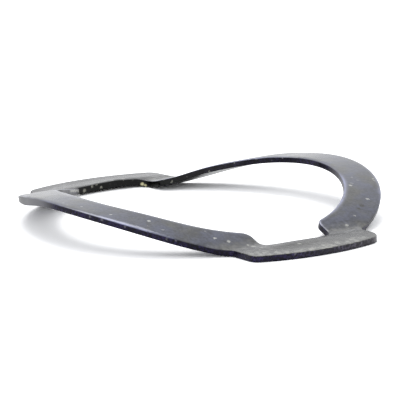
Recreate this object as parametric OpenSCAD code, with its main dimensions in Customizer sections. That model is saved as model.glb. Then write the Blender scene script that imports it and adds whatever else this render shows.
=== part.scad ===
// Two-wave spring washer with a pair of seating lugs.
// It is blanked from flat spring steel as a ring with two square-sided lugs and a recess behind
// each lug, then bowed across the lugs, so that it stands on them and bridges between them in
// two equal arches. X runs from lug to lug, Y from crest to crest and Z is the washer's axis,
// with the seat at zero.

/* [Ring] */
// Inside diameter of the ring, which clears the shaft
bore_d = 35.7; // [34:0.1:36.6]
// Outside diameter of the ring, between the lugs
ring_d = 44.5; // [42:0.5:47]

/* [Lugs] */
// Distance over the outer edges of both lugs
lug_span = 52.2; // [50:0.1:56]
// Width of each lug
lug_w = 19.2; // [16:0.1:22]
// Radius at each lug's outer corners
lug_corner_r = 2.1; // [0.4:0.1:3]
// Radius at the root of each lug, where its side meets the ring
lug_root_r = 0.5; // [0.2:0.1:1.5]

/* [Recesses] */
// Distance across the ring between the floors of both recesses
recess_span = 41.9; // [41.4:0.1:44]
// Width of each recess
recess_w = 10.3; // [9:0.1:13]
// Radius in the corners of each recess's floor
recess_corner_r = 1.6; // [0.4:0.1:2]
// Radius on the tips where a recess breaks into the bore
recess_tip_r = 1.4; // [0.2:0.1:1.8]

/* [Bow] */
// Thickness of the spring steel
sheet_t = 0.8; // [0.5:0.05:1.2]
// Height of the crests above the seat, with no load
free_h = 5.1; // [3:0.1:7]
// Distance between the lines where the bends run out into the flats of the lugs
flat_gap = 40.8; // [39:0.1:43]
// Radius inside the bend at the root of each flat
bend_r = 3.8; // [1:0.1:6]

/* [Hidden] */
$fn = 180;

black_steel = "dimgray";
// How far each web and corner runs into what it joins
lap = 0.001;
bow_rise = free_h - sheet_t;
// Crown and bend touch, so this is how far apart the centres of their arcs are.
centres_apart = (pow(flat_gap / 2, 2) + pow(bow_rise, 2)) / (2 * bow_rise);
crown_r = centres_apart - bend_r - sheet_t;

// Centre of a circle of radius r that touches the line y = line_y from below and, from inside,
// a circle of radius reach about the origin
function corner_centre(reach, line_y, r) =
    [sqrt(pow(reach - r, 2) - pow(line_y - r, 2)), line_y - r];

// Centre of a circle of radius r that touches the line y = line_y from above and, from outside,
// a circle of radius disc_r about the origin
function web_centre(disc_r, line_y, r) =
    [sqrt(pow(disc_r + r, 2) - pow(line_y + r, 2)), line_y + r];

// Web that rounds the angle between a disc about the origin and the ground under y = line_y
module web(disc_r, line_y, r) {
    centre = web_centre(disc_r, line_y, r);
    difference() {
        polygon([centre, centre * (disc_r - r) / (disc_r + r), centre - [0, 2 * r]]);
        translate(centre)
            circle(r = r + lap);
    }
}

// Tongue of width w from the origin along X, ending in an arc about the origin at the given
// reach, with corners of radius r
module tongue(reach, w, r) {
    centre = corner_centre(reach, w / 2, r);
    intersection() {
        circle(r = reach);
        polygon([[0, 0], 2 * centre, 2 * [centre.x, -centre.y]]);
    }
    translate([0, -w / 2])
        square([centre.x, w]);
    for (side = [-1, 1])
        translate([centre.x, side * centre.y])
            circle(r = r + lap);
}

// Disc with two opposite tongues. The ring's outside and its inside both have this shape.
module eared_disc(d, span, w, corner_r, root_r) {
    circle(d = d);
    for (end = [0, 1])
        mirror([end, 0]) {
            tongue(span / 2, w, corner_r);
            for (side = [0, 1])
                mirror([0, side])
                    web(d / 2, w / 2, root_r);
        }
}

// Outline of the washer, seen along its axis
module outline() {
    difference() {
        eared_disc(ring_d, lug_span, lug_w, lug_corner_r, lug_root_r);
        eared_disc(bore_d, recess_span, recess_w, recess_corner_r, recess_tip_r);
    }
}

// All that is under one face of the bowed sheet, seen from its edge. Lift is zero for the lower
// face and the sheet's thickness for the upper face.
module under_face(lift) {
    r = bend_r + sheet_t - lift;
    ground = bend_r + 2 * sheet_t - lift;
    translate([-lug_span, -ground])
        square([2 * lug_span, ground + lift]);
    translate([0, bow_rise - crown_r]) {
        circle(r = crown_r + lift);
        for (end = [0, 1])
            mirror([end, 0])
                web(crown_r + lift, crown_r + lift - bow_rise, r);
    }
}

// Everything under one face of the bowed sheet, from side to side
module bow_bed(lift) {
    rotate([90, 0, 0])
        linear_extrude(height = 2 * ring_d, center = true)
            under_face(lift);
}

module washer() {
    color(black_steel)
        difference() {
            intersection() {
                linear_extrude(height = 2 * free_h, center = true)
                    outline();
                bow_bed(sheet_t);
            }
            bow_bed(0);
        }
}

washer();
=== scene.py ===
"""Bowed spring-steel washer with two seating lugs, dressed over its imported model.

Sizes are in millimetres where a name ends in _MM, and every mesh is in metres. X runs from lug
to lug, Y from crest to crest, and the seat under the lugs is at Z = 0.
"""
import math

import bpy
import numpy as np
from mathutils import Matrix, Vector


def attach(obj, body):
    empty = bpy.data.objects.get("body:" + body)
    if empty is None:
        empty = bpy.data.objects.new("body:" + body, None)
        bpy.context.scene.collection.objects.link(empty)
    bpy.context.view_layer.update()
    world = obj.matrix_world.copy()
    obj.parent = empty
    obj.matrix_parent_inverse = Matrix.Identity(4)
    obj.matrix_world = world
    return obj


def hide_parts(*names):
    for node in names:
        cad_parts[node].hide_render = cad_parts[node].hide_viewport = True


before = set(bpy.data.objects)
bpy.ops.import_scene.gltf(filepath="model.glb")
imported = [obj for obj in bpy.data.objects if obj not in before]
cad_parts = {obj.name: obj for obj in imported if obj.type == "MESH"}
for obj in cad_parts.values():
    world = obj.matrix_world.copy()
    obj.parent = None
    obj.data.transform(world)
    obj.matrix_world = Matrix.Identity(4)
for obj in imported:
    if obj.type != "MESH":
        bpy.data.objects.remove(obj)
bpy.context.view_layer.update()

MM = 0.001

# ---------------------------------------------------------------- sizes of the washer

BORE_R_MM = 17.85
RING_R_MM = 22.25
LUG_REACH_MM = 26.1
RECESS_REACH_MM = 20.95
RECESS_CORNER_R_MM = 1.6
# The blank isn't quite even, so these differ in the quarters +X +Y, -X +Y, -X -Y and +X -Y.
LUG_HALF_W_MM = (9.6, 9.9, 9.6, 9.6)
LUG_CORNER_R_MM = (2.9, 1.5, 2.1, 1.3)
LUG_ROOT_R_MM = (0.5, 3.8, 0.5, 0.5)
RECESS_HALF_W_MM = (5.15, 5.95, 6.0, 5.15)
RECESS_TIP_R_MM = (1.4, 1.4, 2.6, 1.4)
SHEET_MM = 0.8
FREE_HEIGHT_MM = 5.1
FLAT_FROM_MM = 20.4
BEND_R_MM = 3.8

# The ring's outside is out of round by this much, at this angle from X and at its opposite.
SWELL_MM = 0.18
SWELL_AT_DEG = 54.0
SWELL_SPREAD_DEG = 20.0
# One side of the bore stands in by this much. Its upper edge is worn twice as wide there.
BORE_IN_MM = 0.35
BORE_IN_AT_DEG = 252.0
BORE_IN_SPREAD_DEG = 28.0

# Blanking leaves a soft roll along the upper edges and a crisp lower edge.
ROLL_WIDTH_MM = 0.7
ROLL_DEPTH_MM = 0.16
LOWER_EDGE_R_MM = 0.06
# Near the lugs the roll shrinks to this share. Each pair gives the distances along X from the
# axis at which it has shrunk fully and at which it still has its full size.
ROLL_AT_LUGS = 0.35
ROUNDED_OUTSIDE_MM = (16.5, 13.0)
ROUNDED_INSIDE_MM = (20.5, 14.5)
# The roll is painted brighter, partly rubbed by use and partly a painted highlight: by this
# least share up to the first distance from the axis along X, and fully from the second
# distance on.
RUBBED_HIGHLIGHT_MM = (3.0, 12.0)
RUBBED_HIGHLIGHT_LEAST = 0.25
# Shares of the roll's depth: the rubbed and painted highlight is full from the first one down,
# and ends at the second.
RUB_HIGHLIGHT_FULL_AT = 0.35
RUB_HIGHLIGHT_ENDS_AT = 0.9

# Use has set the washer a little out of true, mostly beside one recess. Each row is a soft hump
# (or a dip, where the lift is negative): centre in X and Y, spread in X and Y, and lift.
SET_MM = (
    (-21.3, 2.6, 1.9, 5.6, 0.48),
    (-21.0, -4.6, 1.9, 3.2, 0.26),
    (-17.0, 7.6, 2.3, 5.0, -0.52),
    (21.6, -1.0, 1.6, 5.0, 0.22),
    (10.5, -16.5, 5.0, 5.0, 0.13),
    (-10.5, 19.0, 4.5, 5.0, 0.13),
    (8.0, -12.5, 9.0, 5.0, 0.2),
)

# Burrs hang under the edge, one outside beside a crest and one in a recess. Each row is a burr's
# middle in X and Y, its spread along the edge, and how far it hangs down.
BURRS_MM = (
    (-7.0, -21.1, 4.0, 0.42),
    (-20.9, 0.0, 5.0, 0.13),
)
BURR_REACH_MM = 0.5

# How finely it is drawn. Within a quarter, the step between sections changes at these angles
# from X. It is finest at the corner and tip of the recess and at the corner and root of the lug.
STATION_MARKS_DEG = (0.0, 11.0, 18.8, 20.0, 27.5, 90.0)
STATION_STEPS_MM = (0.256, 0.088, 0.16, 0.088, 0.42)
ROLL_STEPS = 9
CRISP_STEPS = 3
FACE_ROWS = 27
# The face's own rows keep this far inside the rounded edges.
FACE_GAP_MM = 0.02
# Rows on a wall, as shares of its height below the roll. A section starts on the outer wall
# with the first three of them, going up, and ends there with the fourth.
WALL_AT = (0.08, 0.25, 0.5, 0.75)
WALL_ROWS_AT_START = 3
# This many rows of a roll, counted from the wall, still belong to the cut edge.
ROLL_CUT_ROWS = 2
# Keeps a division clear of zero
TINY = 1e-9


# ---------------------------------------------------------------- the washer's surface

def ramp(value, none, full):
    """Straight rise from 0 at one value to 1 at another, and level beyond both."""
    return np.clip((value - none) / (full - none), 0.0, 1.0)


def bell(theta, at_deg, spread_deg, repeat_deg):
    """Bell curve, the exponential of minus a square, over the angle round the axis.

    It is 1 at the given angle and at each repeat of it.
    """
    half = repeat_deg / 2.0
    away = (np.degrees(theta) - at_deg + half) % repeat_deg - half
    return np.exp(-(away / spread_deg) ** 2)[:, None]


def eared_edge(theta, disc_r, reach, half_w, corner_r, root_r):
    """Points on the edge of an eared disc, and the edge's outward normals there.

    An eared disc is a circle with two tongues along X. Going round a quarter from the Y axis
    to the X axis its edge is: the disc's own arc; a web, an arc that touches the disc and the
    tongue's side; the side, a line parallel to X; a corner, an arc that touches the side and
    the end; and the end, an arc about the axis. For each angle the ray from the axis is cut
    with the circle or line of its stretch. The other quarters mirror the first, each with its
    own half width, corner radius and root radius where four are given.
    """
    ray = np.stack([np.abs(np.cos(theta)), np.abs(np.sin(theta))], 1)
    angle = np.arctan2(ray[:, 1], ray[:, 0])
    quarter = np.where(np.sin(theta) >= 0, np.where(np.cos(theta) >= 0, 0, 1),
                       np.where(np.cos(theta) < 0, 2, 3))
    half_w, corner_r, root_r = (np.broadcast_to(v, 4)[quarter]
                                for v in (half_w, corner_r, root_r))
    web = np.stack([np.sqrt((disc_r + root_r) ** 2 - (half_w + root_r) ** 2),
                    half_w + root_r], 1)
    corner = np.stack([np.sqrt((reach - corner_r) ** 2 - (half_w - corner_r) ** 2),
                       half_w - corner_r], 1)

    def cut(centre, radius, side):
        along = (ray * centre).sum(1)
        across = ray[:, 0] * centre[:, 1] - ray[:, 1] * centre[:, 0]
        return along + side * np.sqrt(np.maximum(radius ** 2 - across ** 2, 0.0))

    on_disc = angle >= np.arctan2(web[:, 1], web[:, 0])
    on_web = ~on_disc & (angle >= np.arctan2(half_w, web[:, 0]))
    on_end = angle <= np.arctan2(corner[:, 1], corner[:, 0])
    on_corner = ~on_end & (angle <= np.arctan2(half_w, corner[:, 0]))
    on_side = ~(on_disc | on_web | on_end | on_corner)
    dist = np.select([on_disc, on_web, on_side, on_corner, on_end],
                     [np.full(len(theta), disc_r), cut(web, root_r, -1.0),
                      half_w / np.maximum(ray[:, 1], TINY), cut(corner, corner_r, 1.0),
                      np.full(len(theta), reach)])
    point = ray * dist[:, None]
    normal = np.select([on_web[:, None], on_side[:, None], on_corner[:, None]],
                       [(web - point) / root_r[:, None], np.array([[0.0, 1.0]]),
                        (point - corner) / corner_r[:, None]], ray)
    sign = np.stack([np.sign(np.cos(theta)), np.sign(np.sin(theta))], 1)
    sign[sign == 0] = 1.0
    return point * sign, normal * sign


def stations():
    """Angles round the axis at which the washer is cut into sections.

    In each stretch of a quarter they lie evenly, one step apart along the ring's outside. The
    quarter is mirrored into a half, and the half is turned into the whole.
    """
    marks = np.radians(STATION_MARKS_DEG)
    quarter = [np.linspace(a, b, max(2, int(round((b - a) * RING_R_MM / step))), endpoint=False)
               for a, b, step in zip(marks[:-1], marks[1:], STATION_STEPS_MM)]
    quarter = np.concatenate(quarter + [[math.pi / 2]])
    half = np.concatenate([quarter, math.pi - quarter[-2::-1]])
    return np.concatenate([half, math.pi + half[1:-1]])


def bow(x):
    """Height of the sheet's upper face at x, and its unit normal's parts along X and Z.

    In side view a crown arc about a point on the axis runs into a bend arc that is tangent to
    it and to the flat of the lug.
    """
    rise = FREE_HEIGHT_MM - SHEET_MM
    apart = (FLAT_FROM_MM ** 2 + rise ** 2) / (2.0 * rise)
    crown_r = apart - BEND_R_MM
    a = np.abs(x)
    on_crown = a < crown_r * FLAT_FROM_MM / apart
    into = np.clip(FLAT_FROM_MM - a, 0.0, BEND_R_MM)
    lean = np.where(on_crown, a / crown_r, into / BEND_R_MM)
    level = np.sqrt(1.0 - lean ** 2)
    height = np.where(on_crown, FREE_HEIGHT_MM - crown_r * (1.0 - level),
                      SHEET_MM + BEND_R_MM * (1.0 - level))
    return height, lean * np.sign(x), level


def set_lift(x, y):
    """How far the used sheet stands above its true shape: a sum of bell-shaped humps and dips."""
    return sum(lift * np.exp(-((x - at_x) / spread_x) ** 2 - ((y - at_y) / spread_y) ** 2)
               for at_x, at_y, spread_x, spread_y, lift in SET_MM)


def section():
    """Rows of the washer's section, in order round it.

    It starts half way up the outer wall, rises over the rolled outer edge, crosses the upper
    face, comes down over the rolled inner edge and the inner wall, and goes back under the
    lower face. A rounded edge is a quarter ellipse. Each row has an inset from its edge, a drop
    from its face into the steel, a blend from the outer edge to the inner one, 1 on the upper
    face's side and 0 on the lower face's, and 1 on cut wall.
    """
    def quarter(steps, width, depth):
        bend = np.radians(np.linspace(0.0, 90.0, steps + 1))
        return list(zip(width * (1.0 - np.cos(bend)), depth * (1.0 - np.sin(bend))))

    wall = [ROLL_DEPTH_MM + (SHEET_MM - ROLL_DEPTH_MM) * share for share in WALL_AT]
    roll = [(inset, drop, k < ROLL_CUT_ROWS)
            for k, (inset, drop) in enumerate(quarter(ROLL_STEPS, ROLL_WIDTH_MM, ROLL_DEPTH_MM))]
    crisp = quarter(CRISP_STEPS, LOWER_EDGE_R_MM, LOWER_EDGE_R_MM)
    across = np.linspace(0.0, 1.0, FACE_ROWS)
    rows = [(0.0, drop, 0.0, 1, 1) for drop in wall[:WALL_ROWS_AT_START][::-1]]
    rows += [(inset, drop, 0.0, 1, cut) for inset, drop, cut in roll]
    rows += [(ROLL_WIDTH_MM + FACE_GAP_MM, 0.0, blend, 1, 0) for blend in across]
    rows += [(inset, drop, 1.0, 1, cut) for inset, drop, cut in roll[::-1]]
    rows += [(0.0, drop, 1.0, 1, 1) for drop in wall]
    rows += [(inset, drop, 1.0, 0, 1) for inset, drop in crisp]
    rows += [(LOWER_EDGE_R_MM + FACE_GAP_MM, 0.0, blend, 0, 0) for blend in across[::-1]]
    rows += [(inset, drop, 0.0, 0, 1) for inset, drop in crisp[::-1]]
    rows += [(0.0, drop, 0.0, 1, 1) for drop in wall[WALL_ROWS_AT_START:]]
    return np.array(rows, float).T[:, None, :]


def washer_surface():
    """Closed sheet as a grid: round the washer one way and round its section the other way.

    The outer and the inner edge are eared discs. A bell of angle moves one outwards, where the
    ring is out of round, and one inwards, where the bore stands in. Near an edge a point is the
    edge's point moved square to it into the steel by the row's inset. Between the edges it is a
    straight blend of both. It then goes down into the sheet, square to the bowed face, by the
    row's drop, so the walls lean with the sheet. The humps and dips are added to its height.
    A burr takes it further down by a bell of the distance from the burr's middle, in proportion
    to its depth in the sheet, fading out within the burr's reach of the edge. Last, it is kept
    between the seat and the free height.

    The second value returned says which cells of a section are cut wall. The third is how far
    each point is painted bright, partly rubbed by use and partly a painted highlight, which is
    only on the rolls.
    """
    theta = stations()
    outer, outer_n = eared_edge(theta, RING_R_MM, LUG_REACH_MM, LUG_HALF_W_MM,
                                LUG_CORNER_R_MM, LUG_ROOT_R_MM)
    outer = outer + outer_n * SWELL_MM * bell(theta, SWELL_AT_DEG, SWELL_SPREAD_DEG, 180.0)
    inner, inner_n = eared_edge(theta, BORE_R_MM, RECESS_REACH_MM, RECESS_HALF_W_MM,
                                RECESS_CORNER_R_MM, RECESS_TIP_R_MM)
    worn = bell(theta, BORE_IN_AT_DEG, BORE_IN_SPREAD_DEG, 360.0)
    inner = inner - inner_n * BORE_IN_MM * worn

    inset, drop, blend, upper, wall = section()
    outside, above = blend < 0.5, upper > 0.5
    rounded = np.where(outside, ramp(np.abs(outer[:, :1]), *ROUNDED_OUTSIDE_MM),
                       ramp(np.abs(inner[:, :1]), *ROUNDED_INSIDE_MM))
    narrow = np.where(above, ROLL_AT_LUGS + (1.0 - ROLL_AT_LUGS) * rounded, 1.0)
    roll_depth = ROLL_DEPTH_MM * narrow
    stretch = (SHEET_MM - roll_depth) / (SHEET_MM - ROLL_DEPTH_MM)
    drop = np.where(drop > ROLL_DEPTH_MM, SHEET_MM - (SHEET_MM - drop) * stretch, drop * narrow)
    inset = inset * narrow

    from_outer = outer[:, None, :] - outer_n[:, None, :] * inset[..., None]
    from_inner = inner[:, None, :] + inner_n[:, None, :] * (inset * (1.0 + worn))[..., None]
    plan = from_outer * (1.0 - blend[..., None]) + from_inner * blend[..., None]
    x, y = plan[..., 0], plan[..., 1]
    height, lean, level = bow(x)
    below = np.where(above, drop, SHEET_MM - drop)
    z = height - below * level + set_lift(x, y)
    edge = np.where(outside[..., None], outer[:, None, :], inner[:, None, :])
    from_edge = np.hypot(*(plan - edge).transpose(2, 0, 1))
    for at_x, at_y, spread, hang in BURRS_MM:
        away = np.hypot(x - at_x, y - at_y)
        z = z - (hang * np.exp(-(away / spread) ** 2) * (below / SHEET_MM)
                 * ramp(from_edge, BURR_REACH_MM, 0.0))
    z = np.clip(z, drop * (1.0 - upper), FREE_HEIGHT_MM)
    points = np.stack([x - below * lean, y, z], 2) * MM

    # The rolls are painted bright, partly rubbed by use and partly a painted highlight. Beside
    # the bore's worn side the inner roll gets more of it.
    on_roll = above & (drop < RUB_HIGHLIGHT_ENDS_AT * roll_depth)
    bright = np.where(on_roll, ramp(drop, 0.0, RUB_HIGHLIGHT_FULL_AT * roll_depth), 0.0) * rounded
    rubbed_highlight = np.maximum(ramp(np.abs(outer[:, :1]), *RUBBED_HIGHLIGHT_MM), RUBBED_HIGHLIGHT_LEAST)
    bright = bright * np.where(outside, rubbed_highlight, np.maximum(rubbed_highlight, worn))
    wall = wall[0] > 0.5
    return points, wall & np.roll(wall, -1), bright


def grid_mesh(name, points, wall, bright):
    """Mesh of a grid that closes on itself in both directions, one square for each cell.

    A square takes the second material where its own row of the section is cut wall. The point
    attribute holds how far each point is painted bright, partly rubbed by use and partly a
    painted highlight.
    """
    rows, cols = points.shape[:2]
    index = np.arange(rows * cols).reshape(rows, cols)
    along, across = np.roll(index, -1, 0), np.roll(index, -1, 1)
    faces = np.stack([index, along, np.roll(along, -1, 1), across], -1).reshape(-1, 4)
    mesh = bpy.data.meshes.new(name)
    mesh.vertices.add(rows * cols)
    mesh.vertices.foreach_set("co", points.astype(np.float32).ravel())
    mesh.loops.add(faces.size)
    mesh.loops.foreach_set("vertex_index", faces.astype(np.int32).ravel())
    mesh.polygons.add(len(faces))
    mesh.polygons.foreach_set("loop_start", np.arange(0, faces.size, 4, dtype=np.int32))
    mesh.polygons.foreach_set("use_smooth", np.ones(len(faces), bool))
    mesh.polygons.foreach_set("material_index", np.tile(wall, rows).astype(np.int32))
    rubbed_highlight = mesh.attributes.new("rubbed_edge_and_highlight", "FLOAT", "POINT")
    rubbed_highlight.data.foreach_set("value", bright.astype(np.float32).ravel())
    mesh.update(calc_edges=True)
    mesh.validate()
    return mesh


# ---------------------------------------------------------------- nodes and patterns

def colour(hex_code):
    """Linear colour of an sRGB hex code such as #6f7280."""
    parts = [int(hex_code[i:i + 2], 16) / 255.0 for i in (1, 3, 5)]
    return tuple(c / 12.92 if c <= 0.04045 else ((c + 0.055) / 1.055) ** 2.4
                 for c in parts) + (1.0,)


def node(tree, kind, inputs=None, out=0, **settings):
    """Adds a node, makes its settings, fills its inputs, and gives back one of its outputs.

    An input is a number, a row of numbers, a hex colour, or another node's output to link.
    """
    n = tree.nodes.new("ShaderNode" + kind)
    for key, value in settings.items():
        setattr(n, key, value)
    for key, value in (inputs or {}).items():
        if isinstance(value, bpy.types.NodeSocket):
            tree.links.new(value, n.inputs[key])
        else:
            n.inputs[key].default_value = colour(value) if isinstance(value, str) else value
    return n.outputs[out] if len(n.outputs) else None


def blank_material(name):
    """New material with an empty node tree, and the tree."""
    m = bpy.data.materials.new(name)
    m.use_nodes = True
    m.node_tree.nodes.clear()
    return m, m.node_tree


# Octaves and their falloff in every cloudy pattern
CLOUDY = {"Detail": 3.0, "Roughness": 0.55}
# A spot is full out to this share of its radius and fades from there.
SPOT_FULL_TO = 0.4
RAGGED_GRAIN_MM = 0.25


def ragged(t, place, by_mm):
    """The place pushed about by a fine noise, so that round spots come out ragged."""
    push = node(t, "TexNoise", {"Vector": place, "Scale": 1.0 / (RAGGED_GRAIN_MM * MM),
                                "Detail": 1.0}, out="Color")
    moved = node(t, "VectorMath", {0: push, 1: (by_mm * MM,) * 3, 2: place},
                 operation="MULTIPLY_ADD")
    return node(t, "VectorMath", {0: moved, 1: (by_mm * MM / 2.0,) * 3}, operation="SUBTRACT")


def spots(t, place, where):
    """One near each named place, given as x, y, z and radius in millimetres, and 0 elsewhere."""
    total = None
    for x, y, z, radius in where:
        away = node(t, "VectorMath", {0: place, 1: (x * MM, y * MM, z * MM)}, out="Value",
                    operation="DISTANCE")
        near = node(t, "MapRange", {"Value": away, "From Min": radius * MM,
                                    "From Max": SPOT_FULL_TO * radius * MM})
        total = near if total is None else node(t, "Math", {0: total, 1: near},
                                                operation="MAXIMUM")
    return total


def scattered(t, place, cell_mm, radius_mm, share):
    """One within a radius of some points strewn about one cell apart, and 0 elsewhere."""
    away = node(t, "TexVoronoi", {"Vector": place, "Scale": 1.0 / (cell_mm * MM)},
                out="Distance")
    near = node(t, "MapRange", {"Value": away, "From Min": radius_mm / cell_mm,
                                "From Max": SPOT_FULL_TO * radius_mm / cell_mm})
    pick = node(t, "Math", {0: away.node.outputs["Color"], 1: share}, operation="LESS_THAN")
    return node(t, "Math", {0: near, 1: pick}, operation="MULTIPLY")


def on_face(*where):
    """Places on the upper face from x, y and radius."""
    return [(x, y, float(bow(x)[0] + set_lift(x, y)), radius) for x, y, radius in where]


# ---------------------------------------------------------------- the rolled faces

# The oxide's grain and blotches and the stains where it turns brown. On the lugs it stands in
# clumps, thicker in some crusts than in others, and dust drifts into the bends beside them.
# The real grain of rolled strip is finer: it is drawn as coarse as it needs to show.
GRAIN_MM = 0.35
BLOTCH_MM = 1.6
STAIN_MM = 4.0
CLUMP_MM = 0.8
CRUST_MM = 3.0
DRIFT_MM = 0.9
# Where things begin and end along X, from the axis. The front lug's zone has a sign.
LUG_LOOK_MM = (17.5, 21.0)
FRONT_LUG_MM = (20.5, 25.0)
DRIFT_IN_MM = (18.0, 19.3)
DRIFT_OUT_MM = (21.0, 19.8)
GRAIN_DEPTH_MM = 0.006
BLOTCH_DEPTH_MM = 0.035
CLUMP_DEPTH_MM = 0.03
# Dust that lies loose, a dark residue, pale patches on the face, and a painted highlight along
# the bore's rim
DUST_MM = on_face(
    (10.6, 15.4, 0.28), (14.4, 15.1, 0.3), (18.8, 8.5, 0.32), (17.3, 10.8, 0.2),
    (20.0, -6.5, 0.38), (11.7, -15.8, 0.28), (8.3, -19.0, 0.2), (18.2, -8.8, 0.3),
    (17.2, -10.1, 0.26), (9.9, 19.5, 0.2), (22.6, -1.6, 0.35), (-22.2, 1.1, 0.3),
    (-22.0, -2.0, 0.26), (-21.5, -0.5, 0.24), (-21.2, 1.4, 0.26), (-21.1, 3.1, 0.3),
    (19.4, -6.9, 0.22), (21.3, -6.2, 0.24), (24.8, 2.5, 0.32), (24.6, 4.0, 0.3),
    (24.2, 4.9, 0.28), (24.0, 6.9, 0.3), (23.4, -7.5, 0.34), (21.9, -7.1, 0.22))
RESIDUE_MM = on_face((15.6, 13.3, 0.55), (16.1, 12.4, 0.34))
FACE_PALE_MM = on_face((-7.5, -18.5, 5.5), (-19.8, 9.2, 3.0), (-5.0, 19.6, 3.6))
RIM_HIGHLIGHT_MM = on_face((-7.2, -16.2, 2.0), (-5.8, -16.7, 2.0), (-4.4, -17.1, 1.9),
                      (-3.0, -17.4, 1.8), (-1.6, -17.6, 1.6), (-0.2, -17.7, 1.4))
# Strewn dust: spacing and radius of the specks, in millimetres, and how many of them are there
FACE_SPECKS = (1.2, 0.24, 0.35)
FACE_RAGGED_MM = 0.5


def oil_blackened_face():
    """Rolled spring steel strip, blackened in hot oxide and dipped in oil.

    The oxide is a dark satin blue-grey with a fine grain and wider blotches, and brown in
    stains. On the lugs it is rougher and neutral, in dark clumps, and the front one is painted
    paler towards its end, partly pale dust and partly a painted sheen. Dust also gathers in the
    bends at the lugs' roots. The film of oil gives the strong sheen at a low view. The face is
    paler in patches near the crests, and a painted highlight runs along the bore's rim. The
    rolled edges are painted a brighter grey, partly rubbed by use and partly a painted
    highlight. Pale dust and a dark residue lie in specks.
    """
    mat, t = blank_material("oil_blackened_rolled_steel")
    place = node(t, "TexCoord", out="Object")
    grain, blotch, stain, clump, crust, drift = (
        node(t, "TexNoise", {"Vector": place, "Scale": 1.0 / (size * MM), **CLOUDY})
        for size in (GRAIN_MM, BLOTCH_MM, STAIN_MM, CLUMP_MM, CRUST_MM, DRIFT_MM))
    x = node(t, "SeparateXYZ", {"Vector": place}, out="X")
    from_axis = node(t, "Math", {0: x}, operation="ABSOLUTE")

    # The arches: blue-grey, brown in the stains
    tone = node(t, "Mix", {"Factor": 0.6, "A": grain, "B": blotch}, data_type="FLOAT")
    tone = node(t, "MapRange", {"Value": tone, "From Min": 0.4, "From Max": 0.6})
    stain = node(t, "MapRange", {"Value": stain, "From Min": 0.44, "From Max": 0.6})
    blue = node(t, "Mix", {"Factor": tone, "A": "#242736", "B": "#44485b"}, out="Result",
                data_type="RGBA")
    brown = node(t, "Mix", {"Factor": tone, "A": "#282828", "B": "#474745"}, out="Result",
                 data_type="RGBA")
    arch = node(t, "Mix", {"Factor": stain, "A": blue, "B": brown}, out="Result",
                data_type="RGBA")

    # The lugs: clumps within crusts. The front one is painted paler towards its end: partly pale
    # dust, partly a painted sheen
    clumps = node(t, "MapRange", {"Value": clump, "From Min": 0.42, "From Max": 0.58})
    crust = node(t, "MapRange", {"Value": crust, "From Min": 0.42, "From Max": 0.6,
                                 "To Min": 0.1})
    mottled = node(t, "Math", {0: clumps, 1: crust}, operation="MULTIPLY")
    plain_lug = node(t, "Mix", {"Factor": mottled, "A": "#0a0a0b", "B": "#68686a"},
                     out="Result", data_type="RGBA")
    dust_and_sheen_lug = node(t, "Mix", {"Factor": mottled, "A": "#42413d", "B": "#9c9b93"},
                     out="Result", data_type="RGBA")
    dust_and_sheen_front = node(t, "MapRange", {"Value": x, "From Min": FRONT_LUG_MM[0] * MM,
                                 "From Max": FRONT_LUG_MM[1] * MM})
    lug = node(t, "Mix", {"Factor": dust_and_sheen_front, "A": plain_lug, "B": dust_and_sheen_lug}, out="Result",
               data_type="RGBA")
    on_lug = node(t, "MapRange", {"Value": from_axis, "From Min": LUG_LOOK_MM[0] * MM,
                                  "From Max": LUG_LOOK_MM[1] * MM})
    base = node(t, "Mix", {"Factor": on_lug, "A": arch, "B": lug}, out="Result",
                data_type="RGBA")

    # Dust gathered in the bends
    rise = node(t, "MapRange", {"Value": from_axis, "From Min": DRIFT_IN_MM[0] * MM,
                                "From Max": DRIFT_IN_MM[1] * MM})
    fall = node(t, "MapRange", {"Value": from_axis, "From Min": DRIFT_OUT_MM[0] * MM,
                                "From Max": DRIFT_OUT_MM[1] * MM})
    drift = node(t, "MapRange", {"Value": drift, "From Min": 0.4, "From Max": 0.65,
                                 "To Min": 0.1, "To Max": 0.5})
    gathered = node(t, "Math", {0: rise, 1: fall}, operation="MULTIPLY")
    gathered = node(t, "Math", {0: gathered, 1: drift}, operation="MULTIPLY")
    base = node(t, "Mix", {"Factor": gathered, "A": base, "B": "#8c8b84"}, out="Result",
                data_type="RGBA")

    # Rolled edges painted brighter in patches: partly rubbed by use, partly a painted highlight
    rub_highlight = node(t, "Attribute", out="Fac", attribute_name="rubbed_edge_and_highlight")
    patchy = node(t, "MapRange", {"Value": blotch, "From Min": 0.35, "From Max": 0.6,
                                  "To Min": 0.4})
    rub_highlight = node(t, "Math", {0: rub_highlight, 1: patchy}, operation="MULTIPLY")
    base = node(t, "Mix", {"Factor": rub_highlight, "A": base, "B": "#82859f"}, out="Result",
                data_type="RGBA")

    # Pale patches on the face, and a painted highlight along the bore's rim
    face_pale = node(t, "MapRange", {"Value": spots(t, place, FACE_PALE_MM), "To Max": 0.42})
    rim_highlight = node(t, "MapRange", {"Value": spots(t, place, RIM_HIGHLIGHT_MM), "To Max": 0.3})
    film = node(t, "Math", {0: face_pale, 1: rim_highlight}, operation="MAXIMUM")
    torn = node(t, "MapRange", {"Value": blotch, "From Min": 0.4, "From Max": 0.62,
                                "To Min": 0.1})
    film = node(t, "Math", {0: film, 1: torn}, operation="MULTIPLY")
    base = node(t, "Mix", {"Factor": film, "A": base, "B": "#c4c3c2"}, out="Result",
                data_type="RGBA")

    # Residue and dust
    loose = ragged(t, place, FACE_RAGGED_MM)
    base = node(t, "Mix", {"Factor": spots(t, loose, RESIDUE_MM), "A": base, "B": "#0c0b0a"},
                out="Result", data_type="RGBA")
    lying = node(t, "MapRange", {"Value": spots(t, loose, DUST_MM), "To Max": 0.6})
    strewn = node(t, "MapRange", {"Value": scattered(t, loose, *FACE_SPECKS), "To Max": 0.35})
    dust = node(t, "Math", {0: lying, 1: strewn}, operation="MAXIMUM")
    base = node(t, "Mix", {"Factor": dust, "A": base, "B": "#c9c9c2"}, out="Result",
                data_type="RGBA")

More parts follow.
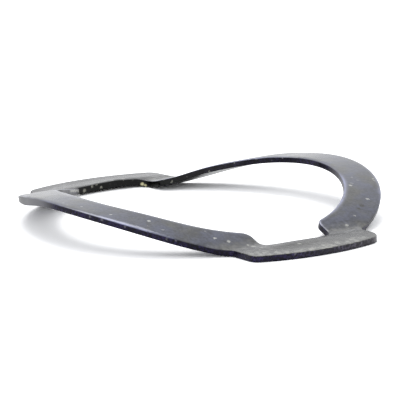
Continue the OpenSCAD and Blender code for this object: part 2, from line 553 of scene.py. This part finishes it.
    # The finish is rougher in blotches and on the lugs, which also stand in low clumps.
    satin = node(t, "MapRange", {"Value": blotch, "From Min": 0.35, "From Max": 0.65,
                                 "To Min": 0.4, "To Max": 0.52})
    dry = node(t, "MapRange", {"Value": on_lug, "To Max": 0.45})
    rough = node(t, "Math", {0: satin, 1: dry}, operation="ADD")
    bump = node(t, "Bump", {"Height": clump, "Strength": on_lug,
                            "Distance": CLUMP_DEPTH_MM * MM})
    for height, depth in ((blotch, BLOTCH_DEPTH_MM), (grain, GRAIN_DEPTH_MM)):
        bump = node(t, "Bump", {"Height": height, "Normal": bump, "Strength": 1.0,
                                "Distance": depth * MM})
    shader = node(t, "BsdfPrincipled", {
        "Base Color": base, "Roughness": rough, "Normal": bump, "Coat Normal": bump,
        "Metallic": 1.0, "Coat Weight": 1.0, "Coat Roughness": 0.16})
    node(t, "OutputMaterial", {"Surface": shader})
    return mat


# ---------------------------------------------------------------- the sheared edges

TORN_GRAIN_MM = 0.3
TORN_PATCH_MM = 2.5
TORN_DEPTH_MM = 0.02
# The violet cast grows over the first zone, along X, lighter towards the front lug: painted
# shade on the rear lug's side and a painted reflection of the lit floor towards the front. The
# pale end of the front lug, also a painted reflection, comes in over the second zone, along X,
# and over the third, along Y.
VIOLET_MM = (-16.0, -1.0)
PALE_END_X_MM = (21.0, 24.0)
PALE_END_Y_MM = (-6.0, 8.0)
# Places on the walls, as x, y, z and radius: pale grey patches, lint, pale flecks, and a
# cream spot
CUT_FILM_MM = ((-4.0, -21.8, 4.5, 5.2), (-14.4, -10.5, 2.7, 2.2), (-15.6, -8.6, 2.1, 1.8))
LINT_MM = ((7.0, -21.12, 4.3, 0.22), (8.6, -20.5, 4.1, 0.26), (15.5, -15.96, 2.35, 0.2),
           (25.5, 5.4, 0.5, 0.2), (-20.92, -1.18, 1.2, 0.26), (-20.86, -1.89, 0.95, 0.24),
           (-20.76, 2.83, 1.25, 0.2), (-20.7, -3.2, 0.6, 0.34), (-20.94, -0.47, 0.62, 0.22))
FLECK_MM = ((-15.4, -8.85, 2.14, 0.2), (-15.55, -8.55, 2.12, 0.2), (-15.7, -8.25, 2.06, 0.22),
            (-15.9, -7.85, 1.99, 0.24), (-16.1, -7.45, 1.92, 0.2), (-16.35, -7.1, 1.8, 0.24))
CREAM_SPOT_MM = ((-20.05, 5.32, 0.42, 0.3), (-19.78, 5.62, 0.22, 0.28))
# Strewn lint: spacing and radius of the specks, in millimetres, and how many of them are there
CUT_SPECKS = (0.8, 0.19, 0.36)
CUT_RAGGED_MM = 0.4


def oil_blackened_cut():
    """Sheared edge of the same strip, torn and rough, so that the oxide is deeper there.

    It is near black. Towards the rear lug it is painted darker and neutral, a painted shade;
    towards the front one it is painted lighter and violet, and paler at that lug's end, a
    painted reflection of the lit floor. The oil makes it shine where it is seen at a low angle,
    and it is pale grey in patches. Lint, pale flecks and one cream spot lie on it.
    """
    mat, t = blank_material("oil_blackened_sheared_edge")
    place = node(t, "TexCoord", out="Object")
    grain, patch = (
        node(t, "TexNoise", {"Vector": place, "Scale": 1.0 / (size * MM), **CLOUDY})
        for size in (TORN_GRAIN_MM, TORN_PATCH_MM))
    x = node(t, "SeparateXYZ", {"Vector": place}, out="X")
    y = x.node.outputs["Y"]

    tone = node(t, "MapRange", {"Value": grain, "From Min": 0.42, "From Max": 0.62})
    patch = node(t, "MapRange", {"Value": patch, "From Min": 0.4, "From Max": 0.6,
                                 "To Min": 0.3})
    tone = node(t, "Math", {0: tone, 1: patch}, operation="MULTIPLY")
    # Painted shade and reflection: darker and neutral towards the rear lug, lighter and violet
    # towards the front one
    violet = node(t, "MapRange", {"Value": x, "From Min": VIOLET_MM[0] * MM,
                                  "From Max": VIOLET_MM[1] * MM})
    deep = node(t, "Mix", {"Factor": violet, "A": "#060606", "B": "#0f0c1a"}, out="Result",
                data_type="RGBA")
    worn = node(t, "Mix", {"Factor": violet, "A": "#1c1b1e", "B": "#342c58"}, out="Result",
                data_type="RGBA")
    base = node(t, "Mix", {"Factor": tone, "A": deep, "B": worn}, out="Result",
                data_type="RGBA")

    # The front lug's end painted paler: a painted reflection of the lit floor
    pale = node(t, "Mix", {"Factor": tone, "A": "#38363b", "B": "#6a676e"}, out="Result",
                data_type="RGBA")
    end_x = node(t, "MapRange", {"Value": x, "From Min": PALE_END_X_MM[0] * MM,
                                 "From Max": PALE_END_X_MM[1] * MM})
    end_y = node(t, "MapRange", {"Value": y, "From Min": PALE_END_Y_MM[0] * MM,
                                 "From Max": PALE_END_Y_MM[1] * MM})
    end = node(t, "Math", {0: end_x, 1: end_y}, operation="MULTIPLY")
    base = node(t, "Mix", {"Factor": end, "A": base, "B": pale}, out="Result",
                data_type="RGBA")

    film = node(t, "MapRange", {"Value": spots(t, place, CUT_FILM_MM), "To Max": 0.72})
    base = node(t, "Mix", {"Factor": film, "A": base, "B": "#8a8a8e"}, out="Result",
                data_type="RGBA")
    loose = ragged(t, place, CUT_RAGGED_MM)
    lint = node(t, "Math", {0: spots(t, loose, LINT_MM), 1: scattered(t, loose, *CUT_SPECKS)},
                operation="MAXIMUM")
    lint_colour = node(t, "Mix", {"Factor": violet, "A": "#8f8e84", "B": "#6c6a74"},
                       out="Result", data_type="RGBA")
    for share, look in ((lint, lint_colour), (spots(t, place, FLECK_MM), "#c6c6c0"),
                        (spots(t, place, CREAM_SPOT_MM), "#d9d3a8")):
        base = node(t, "Mix", {"Factor": share, "A": base, "B": look}, out="Result",
                    data_type="RGBA")

    bump = node(t, "Bump", {"Height": grain, "Strength": 1.0, "Distance": TORN_DEPTH_MM * MM})
    shader = node(t, "BsdfPrincipled", {
        "Base Color": base, "Normal": bump, "Roughness": 0.34, "Metallic": 1.0,
        "Coat Weight": 0.5, "Coat Roughness": 0.12})
    node(t, "OutputMaterial", {"Surface": shader})
    return mat


# ---------------------------------------------------------------- the piece

steel = bpy.data.objects.new("bowed_washer", grid_mesh("bowed_washer", *washer_surface()))
bpy.context.scene.collection.objects.link(steel)
steel.data.materials.append(oil_blackened_face())
steel.data.materials.append(oil_blackened_cut())
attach(steel, "root")
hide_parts("washer")


# ---------------------------------------------------------------- floor, light and camera

FLOOR_HALF_M = 3.0
PAPER_LEVEL = 0.8
PAPER_LEVEL_SEEN = 1.75
ROOM_COLOUR = (0.97, 0.98, 1.0, 1.0)
ROOM_STRENGTH = 0.79
ROOM_STRENGTH_SEEN = 1.0
SUN_STRENGTH = 0.72
SUN_SPREAD_DEG = 30.0
# Direction to the lamp, as seen from the camera: right, away and up
SUN_TOWARDS = (-0.10, 0.52, 0.85)
# Camera: elevation above the seat, turn of the washer under it, and small trims of its aim
DISTANCE_M = 0.52321
ELEVATION = math.radians(12.1931)
WASHER_TURN = math.radians(-54.4510)
YAW = math.radians(0.0115)
PITCH = math.radians(-0.2443)
ROLL = math.radians(0.7939)
LENS_MM = 379.6
SENSOR_MM = 36.0
CLIP_M = (0.01, 20.0)


def white_paper():
    """Matt white paper. The camera sees it as clean white, and it keeps the washer's shadow."""
    mat, t = blank_material("matt_white_paper")
    tint = node(t, "Mix", {"Factor": node(t, "LightPath", out="Is Camera Ray"),
                           "A": (PAPER_LEVEL,) * 3 + (1.0,),
                           "B": (PAPER_LEVEL_SEEN,) * 3 + (1.0,)},
                out="Result", data_type="RGBA")
    node(t, "OutputMaterial", {"Surface": node(t, "BsdfDiffuse", {"Color": tint})})
    return mat


def soft_white_room():
    """Even room light. The camera, and what mirrors or lets through, see it as full white."""
    world = bpy.data.worlds.new("soft_white_room")
    world.use_nodes = True
    t = world.node_tree
    t.nodes.clear()
    seen = node(t, "LightPath", out="Is Camera Ray")
    rays = seen.node.outputs
    for kind in ("Is Glossy Ray", "Is Transmission Ray"):
        seen = node(t, "Math", {0: seen, 1: rays[kind]}, operation="MAXIMUM")
    level = node(t, "MapRange", {"Value": seen, "To Min": ROOM_STRENGTH,
                                 "To Max": ROOM_STRENGTH_SEEN})
    back = node(t, "Background", {"Strength": level, "Color": ROOM_COLOUR})
    node(t, "OutputWorld", {"Surface": back})
    return world


def turn(axis, angle):
    """Rotation about one axis."""
    return Matrix.Rotation(angle, 3, axis)


def camera_pose():
    """Where the camera stands and how it is turned, in the washer's own frame."""
    spot = Vector((0.0, -DISTANCE_M * math.cos(ELEVATION), DISTANCE_M * math.sin(ELEVATION)))
    ahead = -spot.normalized()
    right = Vector((1.0, 0.0, 0.0))
    aim = Matrix((right, right.cross(ahead), -ahead))
    aim = turn("Z", ROLL) @ turn("X", PITCH) @ turn("Y", YAW) @ aim
    under = turn("Z", -WASHER_TURN)
    return under @ spot, under @ aim.transposed()


floor_mesh = bpy.data.meshes.new("paper_floor")
floor_mesh.from_pydata([(x * FLOOR_HALF_M, y * FLOOR_HALF_M, 0.0)
                        for x, y in ((-1, -1), (1, -1), (1, 1), (-1, 1))], [], [(0, 1, 2, 3)])
floor = bpy.data.objects.new("paper_floor", floor_mesh)
bpy.context.scene.collection.objects.link(floor)
floor.data.materials.append(white_paper())

bpy.context.scene.world = soft_white_room()

lamp = bpy.data.lights.new("overhead_softbox", "SUN")
lamp.energy = SUN_STRENGTH
lamp.angle = math.radians(SUN_SPREAD_DEG)
softbox = bpy.data.objects.new("overhead_softbox", lamp)
towards = turn("Z", -WASHER_TURN) @ Vector(SUN_TOWARDS)
softbox.rotation_euler = towards.to_track_quat("Z", "Y").to_euler()
bpy.context.scene.collection.objects.link(softbox)

eye = bpy.data.cameras.new("bench_camera")
eye.lens = LENS_MM
eye.sensor_width = SENSOR_MM
eye.clip_start, eye.clip_end = CLIP_M
spot, aim = camera_pose()
camera = bpy.data.objects.new("bench_camera", eye)
camera.matrix_world = Matrix.Translation(spot) @ aim.to_4x4()
bpy.context.scene.collection.objects.link(camera)
bpy.context.scene.camera = camera
bpy.context.scene.view_settings.view_transform = "Standard"
